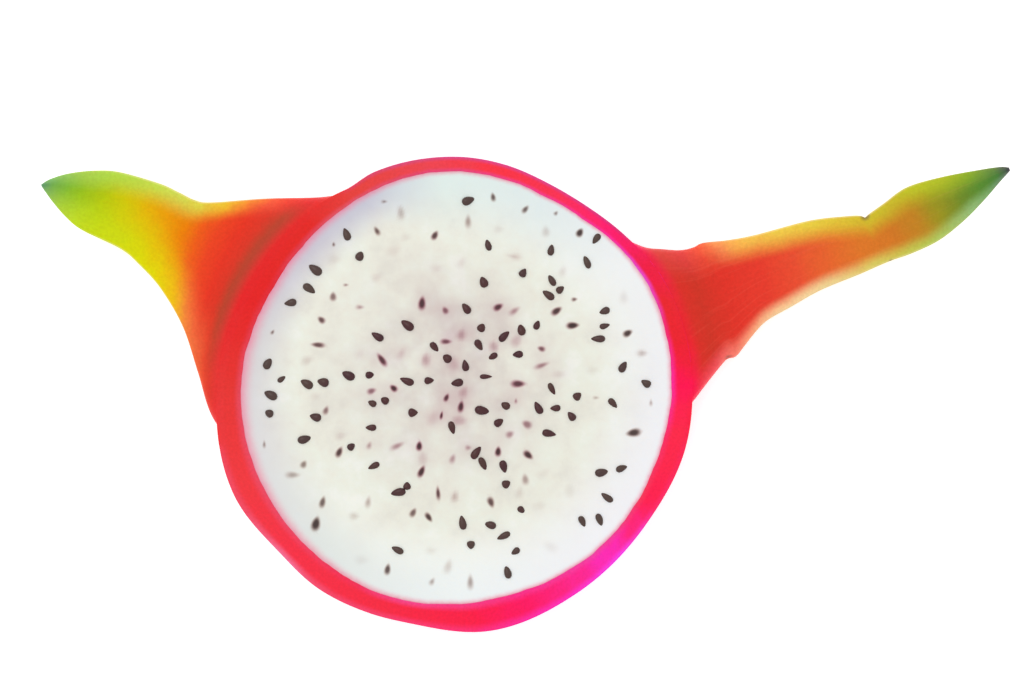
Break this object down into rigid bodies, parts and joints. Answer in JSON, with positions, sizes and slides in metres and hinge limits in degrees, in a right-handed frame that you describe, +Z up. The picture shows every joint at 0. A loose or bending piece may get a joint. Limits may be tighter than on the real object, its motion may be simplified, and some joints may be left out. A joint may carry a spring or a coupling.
{
  "type": "dragon fruit slice",
  "caption": "Round cross-cut slice of white-fleshed dragon fruit: seedy white flesh in a red rind with two pointed bracts, lying flat on its cut face.",
  "frame": {"origin": "middle of the flesh on the lower cut face, the one the slice lies on", "axes": "+Z up out of the upper cut face, +X towards the longer bract, +Y across it towards the side both bract tips lean to"},
  "size_m": [0.1747, 0.0858, 0.0092],
  "materials": {
    "rind": "fleshy cut peel with a thin waxy skin, red to magenta, bracts running to yellow and green",
    "flesh": "moist translucent white fruit flesh",
    "seed": "smooth dark brown-black seed coat, wet"
  },
  "bodies": {
    "root": {"rind": "rind", "flesh": "flesh", "seed_01": "seed", "seed_02": "seed", "seed_03": "seed", "seed_04": "seed", "seed_05": "seed", "seed_06": "seed", "seed_07": "seed", "seed_08": "seed", "seed_09": "seed", "seed_10": "seed", "seed_11": "seed", "seed_12": "seed", "seed_13": "seed", "seed_14": "seed", "seed_15": "seed", "seed_16": "seed", "seed_17": "seed", "seed_18": "seed", "seed_19": "seed", "seed_20": "seed", "seed_21": "seed", "seed_22": "seed", "seed_23": "seed", "seed_24": "seed", "seed_25": "seed", "seed_26": "seed", "seed_27": "seed", "seed_28": "seed", "seed_29": "seed", "seed_30": "seed", "seed_31": "seed", "seed_32": "seed", "seed_33": "seed", "seed_34": "seed", "seed_35": "seed", "seed_36": "seed", "seed_37": "seed", "seed_38": "seed", "seed_39": "seed", "seed_40": "seed", "seed_41": "seed", "seed_42": "seed", "seed_43": "seed", "seed_44": "seed", "seed_45": "seed", "seed_46": "seed", "seed_47": "seed", "seed_48": "seed", "seed_49": "seed", "seed_50": "seed", "seed_51": "seed", "seed_52": "seed", "seed_53": "seed", "seed_54": "seed", "seed_55": "seed", "seed_56": "seed"}
  },
  "joints": []
}
